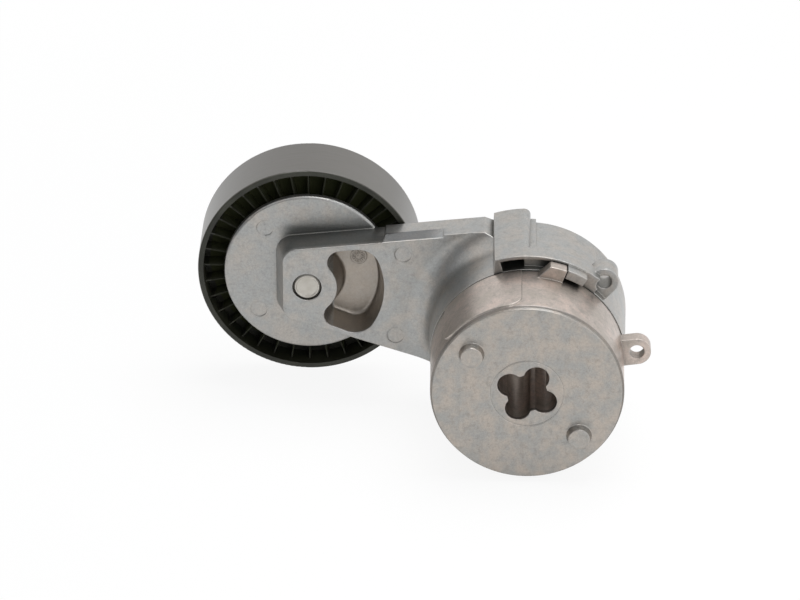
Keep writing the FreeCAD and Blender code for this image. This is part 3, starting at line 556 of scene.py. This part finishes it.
@dataclass(frozen=True)
class TurnedSteel(Finish):
    """Turned or ground steel with rings around an axis along Y and slightly darker stains."""

    base: Colour
    stain: Colour
    centre: Vector
    roughness: float = 0.3
    metallic: float = 0.9
    ring_width: float = 0.25 * MM

    def draw(self, graph: Graph) -> None:
        """Fill the material's graph with the steel.

        Args:
            graph: The empty graph.
        """
        place = graph.place()
        reach = graph.reach(place, self.centre)
        radial = graph.node("ShaderNodeCombineXYZ", {}, {0: reach, 1: 0.0, 2: 0.0})
        rings = graph.noise(radial, self.ring_width, 3.0, 0.6)
        film = graph.noise(place, 7 * MM, 4.0, 0.6)
        grain = graph.noise(place, 0.35 * MM, 2.0, 0.5)
        tint = graph.blend(film.between(0.42, 0.72) * 0.6, shade(self.base), shade(self.stain))
        rough = self.roughness + film * 0.14 + rings * 0.06
        height = rings * 0.6 + grain * 0.4
        normal = graph.bump(height, 0.012 * MM, graph.rounded(0.3 * MM))
        graph.surface(Base_Color=tint, Metallic=self.metallic, Roughness=rough, Normal=normal)


@dataclass(frozen=True)
class SoftPolymer(Finish):
    """Moulded polymer or rubber of a dull, slightly uneven colour."""

    base: Colour
    shadow: Colour
    roughness: float = 0.6

    def draw(self, graph: Graph) -> None:
        """Fill the material's graph with the polymer.

        Args:
            graph: The empty graph.
        """
        place = graph.place()
        cloud = graph.noise(place, 6 * MM, 3.0, 0.55)
        grain = graph.noise(place, 0.3 * MM, 2.0, 0.5)
        tint = graph.blend(cloud.between(0.35, 0.7), shade(self.base), shade(self.shadow))
        rough = self.roughness + grain * 0.1
        normal = graph.bump(grain, 0.015 * MM, graph.rounded(0.2 * MM))
        graph.surface(Base_Color=tint, Roughness=rough, Normal=normal)


# --- the part -------------------------------------------------------------------------------

def dress(frame: dict, finish: bpy.types.Material, names: tuple[str, ...]) -> None:
    """Give CAD nodes a finish.

    Args:
        frame: The loaded frame.
        finish: Material for the nodes.
        names: Names of the nodes.
    """
    for name in names:
        mesh = frame["nodes"][name].data
        mesh.materials.clear()
        mesh.materials.append(finish)
        log.info("%s: %s", name, finish.name)


def spin(shape: bmesh.types.BMesh, profile: list[tuple[float, float]], centre: Vector) -> None:
    """Turn a profile round an axis along Y.

    Args:
        shape: Mesh that the turned piece joins.
        profile: Radius and depth of each point, from the axis outward and back to it.
        centre: A point on the axis.
    """
    points = [shape.verts.new((centre.x + radius, depth, centre.z)) for radius, depth in profile]
    edges = [shape.edges.new(pair) for pair in zip(points, points[1:])]
    bmesh.ops.spin(shape, geom=points + edges, cent=(centre.x, 0.0, centre.z), axis=(0, 1, 0),
                   angle=math.tau, steps=64, use_merge=True)
    bmesh.ops.remove_doubles(shape, verts=shape.verts, dist=1e-7)


def hexagon(shape: bmesh.types.BMesh, centre: Vector, apothem: float, front: float,
            back: float) -> None:
    """Stand a hexagon head along Y whose back corners are turned off at 30 degrees.

    Args:
        shape: Mesh that the head joins.
        centre: A point on the axis.
        apothem: Half the width across the flats, in metres.
        front: Depth of the head's foot.
        back: Depth of the head's end.
    """
    sides, steps, layers = 6, 72, 6
    half_side = math.pi / sides
    slope = math.tan(math.radians(30))
    end_radius = 0.94 * apothem
    cone_foot = back - (apothem / math.cos(half_side) - end_radius) * slope
    depths = [front] + [cone_foot + (back - cone_foot) * layer / layers
                        for layer in range(layers + 1)]
    rings = []
    for depth in depths:
        cone = end_radius + (back - depth) / slope
        ring = []
        for step in range(steps):
            angle = math.tau * step / steps
            flat = apothem / math.cos(angle % (2 * half_side) - half_side)
            reach = min(flat, cone)
            ring.append(shape.verts.new((centre.x + reach * math.cos(angle), depth,
                                         centre.z + reach * math.sin(angle))))
        rings.append(ring)
    for lower, upper in zip(rings, rings[1:]):
        for step in range(steps):
            following = (step + 1) % steps
            shape.faces.new((lower[step], lower[following], upper[following], upper[step]))
    shape.faces.new(rings[0])
    shape.faces.new(rings[-1])


def finished(name: str, shape: bmesh.types.BMesh,
             finish: bpy.types.Material) -> bpy.types.Object:
    """Turn a mesh under construction into an object with a finish.

    Args:
        name: Name of the piece.
        shape: The mesh, freed here.
        finish: Its material.

    Returns:
        The new object, at the origin.
    """
    bmesh.ops.recalc_face_normals(shape, faces=shape.faces)
    for face in shape.faces:
        face.smooth = True
    mesh = bpy.data.meshes.new(name)
    shape.to_mesh(mesh)
    shape.free()
    mesh.materials.append(finish)
    mesh.set_sharp_from_angle(angle=SHARP_ANGLE)
    piece = bpy.data.objects.new(name, mesh)
    bpy.context.scene.collection.objects.link(piece)
    log.info("%s: %d faces", name, len(mesh.polygons))
    return piece


@dataclass
class SpringCase:
    """The bolted case with what stays still inside and behind it."""

    frame: dict

    def build(self) -> None:
        """Dress the case and its fixed pieces."""
        # Painted shade: a dark band on the side just behind the edge of the face, at the step.
        rim = ShadeBlock(low=Vector((-40.0, 0.7, -40.0)), high=Vector((40.0, 1.9, 40.0)),
                     soft=Vector((1.0, 0.35, 1.0)), tint=(96, 91, 86), depth=0.6)
        # The pale pinkish side colour of the case is painted light.
        metal = CastMetal("cast_case_metal", cool=(163, 162, 159), warm=(180, 171, 162),
                          stain=(142, 138, 132), lit_flank=(206, 190, 180), lit_flank_share=1.0,
                          shade_blocks=(rim,))
        dress(self.frame, metal.build(), ("base_housing",))
        steel = TurnedSteel("plate_steel", (168, 166, 160), (120, 114, 104), Vector())
        dress(self.frame, steel.build(), ("retaining_plate",))
        washer = SoftPolymer("washer_polymer", (196, 188, 168), (170, 160, 140))
        dress(self.frame, washer.build(), ("thrust_washer", "front_spring_seat"))
        spring = TurnedSteel("spring_steel", (74, 72, 70), (52, 48, 44), Vector(),
                             roughness=0.42)
        dress(self.frame, spring.build(), ("torsion_spring",))


@dataclass
class TensionArm:
    """The arm that turns on the case, with its bush, seats, damper, bolt and cover."""

    frame: dict
    axle: Vector
    head_height: float = 6.0 * MM
    flange_thickness: float = 1.6 * MM
    across_flats: float = 15.0 * MM
    shank_radius: float = 5.0 * MM
    thread_pitch: float = 1.25 * MM
    thread_depth: float = 0.55 * MM
    thread_length: float = 12.0 * MM
    end_chamfer: float = 0.9 * MM
    end_dimple: float = 0.25 * MM
    pocket_floor: float = 59.0 * MM
    mark_offset: tuple[float, float] = (17.4 * MM, 7.1 * MM)
    mark_radius: float = 3.0 * MM
    tick_circle: float = 1.65 * MM
    tick_count: int = 15

    def build(self) -> None:
        """Dress the arm and the pieces that turn with it."""
        # Painted shade and a warm painted reflection in the kidney pocket.
        pocket = ShadeBlock(low=Vector((-67.0, 49.3, -5.1)), high=Vector((-47.1, 59.8, 28.8)),
                        soft=Vector((0.5, 0.5, 0.5)), tint=(156, 144, 131), depth=0.6)
        # Painted shade at the root of the beam's wall over the shield, and along the step of the
        # rail on top of the beam.
        root = ShadeBlock(low=Vector((-87.0, 48.8, 22.8)), high=Vector((-47.0, 64.0, 32.8)),
                      soft=Vector((6.0, 2.6, 2.6)), tint=(88, 91, 89), depth=0.68)
        step = ShadeBlock(low=Vector((-56.0, 49.2, 30.4)), high=Vector((-25.0, 54.4, 34.6)),
                      soft=Vector((11.0, 0.6, 0.5)), tint=(84, 88, 91), depth=0.7)
        # The side colour of the arm is a faint painted light.
        metal = CastMetal("cast_arm_metal", cool=(165, 166, 165), warm=(176, 171, 165),
                          stain=(145, 145, 142), lit_flank=(168, 168, 166), lit_flank_share=0.3,
                          shade_blocks=(pocket, root, step))
        casting = metal.build()
        dress(self.frame, casting, ("arm_casting",))
        bush = SoftPolymer("bush_polymer", (206, 196, 172), (182, 170, 146))
        dress(self.frame, bush.build(),
              ("pivot_bush", "spring_sleeve", "back_spring_seat", "damping_shoe"))
        leaf = TurnedSteel("leaf_steel", (96, 94, 92), (66, 62, 58), Vector(), roughness=0.36)
        dress(self.frame, leaf.build(), ("damping_leaf",))
        rubber = SoftPolymer("seal_rubber", (34, 34, 33), (26, 26, 25), roughness=0.7)
        dress(self.frame, rubber.build(), ("seal_ring",))
        steel = TurnedSteel("zinc_plated_steel", (196, 192, 184), (160, 154, 142), self.axle,
                            roughness=0.34)
        zinc = steel.build()
        dress(self.frame, zinc, ("pulley_spacer", "rear_dust_cover"))
        self._bolt(zinc)
        self._insert_mark(casting)

    def _bolt(self, finish: bpy.types.Material) -> None:
        """Make the flange bolt with its chamfered hexagon, in place of the plain node.

        Args:
            finish: Material of the bolt.
        """
        low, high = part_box("pulley_bolt")
        flange = (high.x - low.x) / 2
        flange_back = high.y - self.head_height
        cover = flange_back - self.flange_thickness
        shank = self.shank_radius
        thread_start = low.y + self.end_chamfer
        dimple = low.y + self.end_dimple
        turns = int(self.thread_length / self.thread_pitch)
        profile = [(0.0, dimple), (shank - 1.5 * MM, dimple), (shank - 1.2 * MM, low.y),
                   (shank - self.end_chamfer, low.y)]
        for turn in range(turns):
            start = thread_start + turn * self.thread_pitch
            profile += [(shank, start), (shank, start + self.thread_pitch * 0.2),
                        (shank - self.thread_depth, start + self.thread_pitch * 0.55)]
        profile += [(shank, thread_start + turns * self.thread_pitch), (shank, cover),
                    (flange, cover), (flange, cover + 0.7 * MM),
                    (flange - 0.9 * MM, flange_back - 0.1 * MM),
                    (flange - 2.2 * MM, flange_back + 0.1 * MM), (0.0, flange_back + 0.1 * MM)]
        shape = bmesh.new()
        spin(shape, profile, self.axle)
        hexagon(shape, self.axle, self.across_flats / 2, flange_back, high.y)
        bolt = finished("flange_bolt", shape, finish)
        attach(bolt, "arm")
        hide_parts("pulley_bolt")

    def _insert_mark(self, casting: bpy.types.Material) -> None:
        """Make the plain round mark of a mould insert on the floor of the kidney pocket.

        Args:
            casting: Material of the arm.
        """
        across, upward = self.mark_offset
        centre = self.axle + Vector((across, 0.0, upward))
        floor, radius = self.pocket_floor, self.mark_radius
        sunk, proud = floor - 0.06 * MM, floor - 0.20 * MM
        profile = [(0.0, floor - 0.24 * MM), (0.5 * MM, floor - 0.24 * MM), (0.7 * MM, sunk),
                   (radius - 0.5 * MM, sunk), (radius - 0.4 * MM, proud),
                   (radius - 0.1 * MM, proud), (radius, floor + 0.8 * MM),
                   (0.0, floor + 0.8 * MM)]
        shape = bmesh.new()
        spin(shape, profile, centre)
        foot = Matrix.Translation((centre.x, 0.0, centre.z))
        tick = (Matrix.Translation((self.tick_circle, sunk, 0.0))
                @ Matrix.Diagonal((1.1 * MM, 0.36 * MM, 0.3 * MM, 1.0)))
        for step in range(self.tick_count):
            turn = Matrix.Rotation(math.tau * step / self.tick_count, 4, "Y")
            bmesh.ops.create_cube(shape, size=1.0, matrix=foot @ turn @ tick)
        mark = finished("insert_mark", shape, casting)
        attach(mark, "arm")


@dataclass
class IdlerPulley:
    """The smooth pulley with its ball bearing."""

    frame: dict
    axle: Vector

    def build(self) -> None:
        """Dress the pulley, the bearing rings, the seals, the cage and the balls."""
        low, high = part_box("pulley_wheel")
        rim = (high.z - low.z) / 2
        # The lighter brown of the running surface is a painted sheen.
        plastic = MouldedPlastic("black_nylon", body=(31, 32, 21), polish_and_sheen=(81, 77, 73),
                                 dust=(64, 64, 52), recess=(56, 60, 27), centre=self.axle,
                                 run_radius=rim)
        dress(self.frame, plastic.build(), ("pulley_wheel",))
        ground = TurnedSteel("ground_steel", (176, 174, 170), (142, 138, 130), self.axle,
                             roughness=0.22)
        dress(self.frame, ground.build(),
              ("bearing_inner_ring", "bearing_outer_ring", "bearing_balls"))
        seal = SoftPolymer("bearing_seal_rubber", (40, 36, 32), (28, 26, 24),
                           roughness=0.62)
        dress(self.frame, seal.build(), ("front_bearing_seal", "rear_bearing_seal"))
        cage = SoftPolymer("cage_polymer", (150, 118, 78), (128, 98, 62))
        dress(self.frame, cage.build(), ("bearing_cage",))


# --- studio ---------------------------------------------------------------------------------

@dataclass(frozen=True)
class Lamp:
    """A square lamp that looks at the middle of the part from an offset in metres."""

    name: str
    offset: tuple[float, float, float]
    size: float
    power: float

    def build(self, centre: Vector) -> None:
        """Hang the lamp.

        Args:
            centre: Middle of the part.
        """
        data = bpy.data.lights.new(self.name, "AREA")
        data.shape = "SQUARE"
        data.size = self.size
        data.energy = self.power
        lamp = bpy.data.objects.new(self.name, data)
        bpy.context.scene.collection.objects.link(lamp)
        offset = Vector(self.offset)
        lamp.location = centre + offset
        lamp.rotation_euler = (-offset).to_track_quat("-Z", "Y").to_euler()


@dataclass
class Studio:
    """Camera, soft lamps, white surroundings and a pale floor.

    The eye is in metres and the angles are in degrees.
    """

    low: Vector
    high: Vector
    eye: tuple[float, float, float] = (-9.9125 * MM, -1316.25 * MM, 728.0 * MM)
    azimuth: float = 1.42
    elevation: float = 27.77
    roll: float = 0.1
    lens: float = 202.5
    lamps: tuple[Lamp, ...] = (
        Lamp("lamp_above", (0.15, 0.10, 0.80), size=0.7, power=6.0),
        Lamp("lamp_front", (0.45, -0.85, 0.40), size=0.8, power=2.6),
        Lamp("lamp_right", (0.80, -0.10, 0.30), size=0.6, power=0.8),
    )
    air: tuple[float, float, float, float] = (0.86, 0.88, 0.92, 1.0)
    air_strength: float = 0.42
    dim_strength: float = 0.22
    floor_size: float = 6.0
    floor_gap: float = 0.05 * MM

    def build(self) -> None:
        """Set up everything around the part."""
        self._camera()
        for lamp in self.lamps:
            lamp.build((self.low + self.high) / 2)
        self._world()
        self._floor()
        bpy.context.scene.view_settings.view_transform = "Standard"

    def _camera(self) -> None:
        """Look at the part from the front and above."""
        data = bpy.data.cameras.new("camera")
        data.lens = self.lens
        data.sensor_width = 36.0
        data.clip_end = 20.0
        camera = bpy.data.objects.new("camera", data)
        bpy.context.scene.collection.objects.link(camera)
        turn = math.radians(self.azimuth)
        tilt = math.radians(self.elevation)
        forward = Vector((-math.sin(turn) * math.cos(tilt), math.cos(turn) * math.cos(tilt),
                          -math.sin(tilt)))
        aim = forward.to_track_quat("-Z", "Y").to_matrix().to_4x4()
        roll = Matrix.Rotation(-math.radians(self.roll), 4, forward)
        camera.matrix_world = Matrix.Translation(self.eye) @ roll @ aim
        bpy.context.scene.camera = camera

    def _world(self) -> None:
        """Light softly from all round, show plain white to the eye and panels to reflections."""
        world = bpy.data.worlds.new("surroundings")
        bpy.context.scene.world = world
        graph = Graph(world)
        glossy = graph.ray(Ray.GLOSSY)
        way = graph.node("ShaderNodeTexCoord", {}, {}, "Generated")
        across, back, up = (graph.part(way, axis) for axis in Axis)
        # A white wall behind the part fades out about 40 degrees up. A white panel hangs at
        # the left from about 35 to 60 degrees up. The front below about 30 degrees is dim.
        wall = (back + across * 0.35).between(-0.55, 0.25) * up.between(0.74, 0.56)
        panel = (up.between(0.45, 0.68) * up.between(0.92, 0.80)
                 * back.between(0.65, 0.25) * across.between(0.15, -0.35))
        front = up.between(0.56, 0.42) * back.between(0.4, 0.0)
        white_share = (graph.ray(Ray.CAMERA) + graph.ray(Ray.TRANSMISSION)
                       + glossy * (wall + panel).clamped()).clamped()
        soft, dim = (graph.node("ShaderNodeBackground", {},
                                {"Color": self.air, "Strength": strength})
                     for strength in (self.air_strength, self.dim_strength))
        white = graph.node("ShaderNodeBackground", {},
                           {"Color": (1.0, 1.0, 1.0, 1.0), "Strength": 1.0})
        air = graph.node("ShaderNodeMixShader", {}, {0: glossy * front, 1: soft, 2: dim})
        graph.close(graph.node("ShaderNodeMixShader", {}, {0: white_share, 1: air, 2: white}))

    def _floor(self) -> None:
        """Lay a pale floor under the part that is white to the eye but keeps the shadow."""
        shape = bmesh.new()
        bmesh.ops.create_grid(
            shape, x_segments=1, y_segments=1, size=self.floor_size,
            matrix=Matrix.Translation((0.0, 0.0, self.low.z - self.floor_gap)))
        mesh = bpy.data.meshes.new("floor")
        shape.to_mesh(mesh)
        shape.free()
        floor = bpy.data.objects.new("floor", mesh)
        bpy.context.scene.collection.objects.link(floor)
        material = bpy.data.materials.new("floor")
        mesh.materials.append(material)
        graph = Graph(material)
        place = graph.place()
        matte = graph.node("ShaderNodeBsdfDiffuse", {}, {"Color": (0.93, 0.93, 0.92, 1.0)})
        glow = graph.node("ShaderNodeEmission", {},
                          {"Color": (1.0, 1.0, 1.0, 1.0), "Strength": 1.0})
        # Far from the part the floor is plain white. Reflections see it bright on the left
        # and, less so, under and behind the part.
        plain = 0.9 + graph.length(place).between(0.22, 0.5) * 0.1
        bright = (graph.part(place, Axis.X).between(-0.08, -0.22) * 0.8
                  + graph.part(place, Axis.Y).between(-0.14, -0.02) * 0.5)
        share = (graph.ray(Ray.CAMERA) * plain + graph.ray(Ray.GLOSSY) * bright).clamped()
        graph.close(graph.node("ShaderNodeMixShader", {}, {0: share, 1: matte, 2: glow}))
        floor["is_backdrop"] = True


def main() -> None:
    """Load the frame, dress it and set up the studio."""
    logging.basicConfig(level=logging.INFO, format="%(message)s")
    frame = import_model()
    low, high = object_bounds()
    ring_low, ring_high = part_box("bearing_outer_ring")
    axle = (ring_low + ring_high) / 2
    SpringCase(frame).build()
    TensionArm(frame, axle).build()
    IdlerPulley(frame, axle).build()
    Studio(Vector(low), Vector(high)).build()


if __name__ == "__main__":
    main()
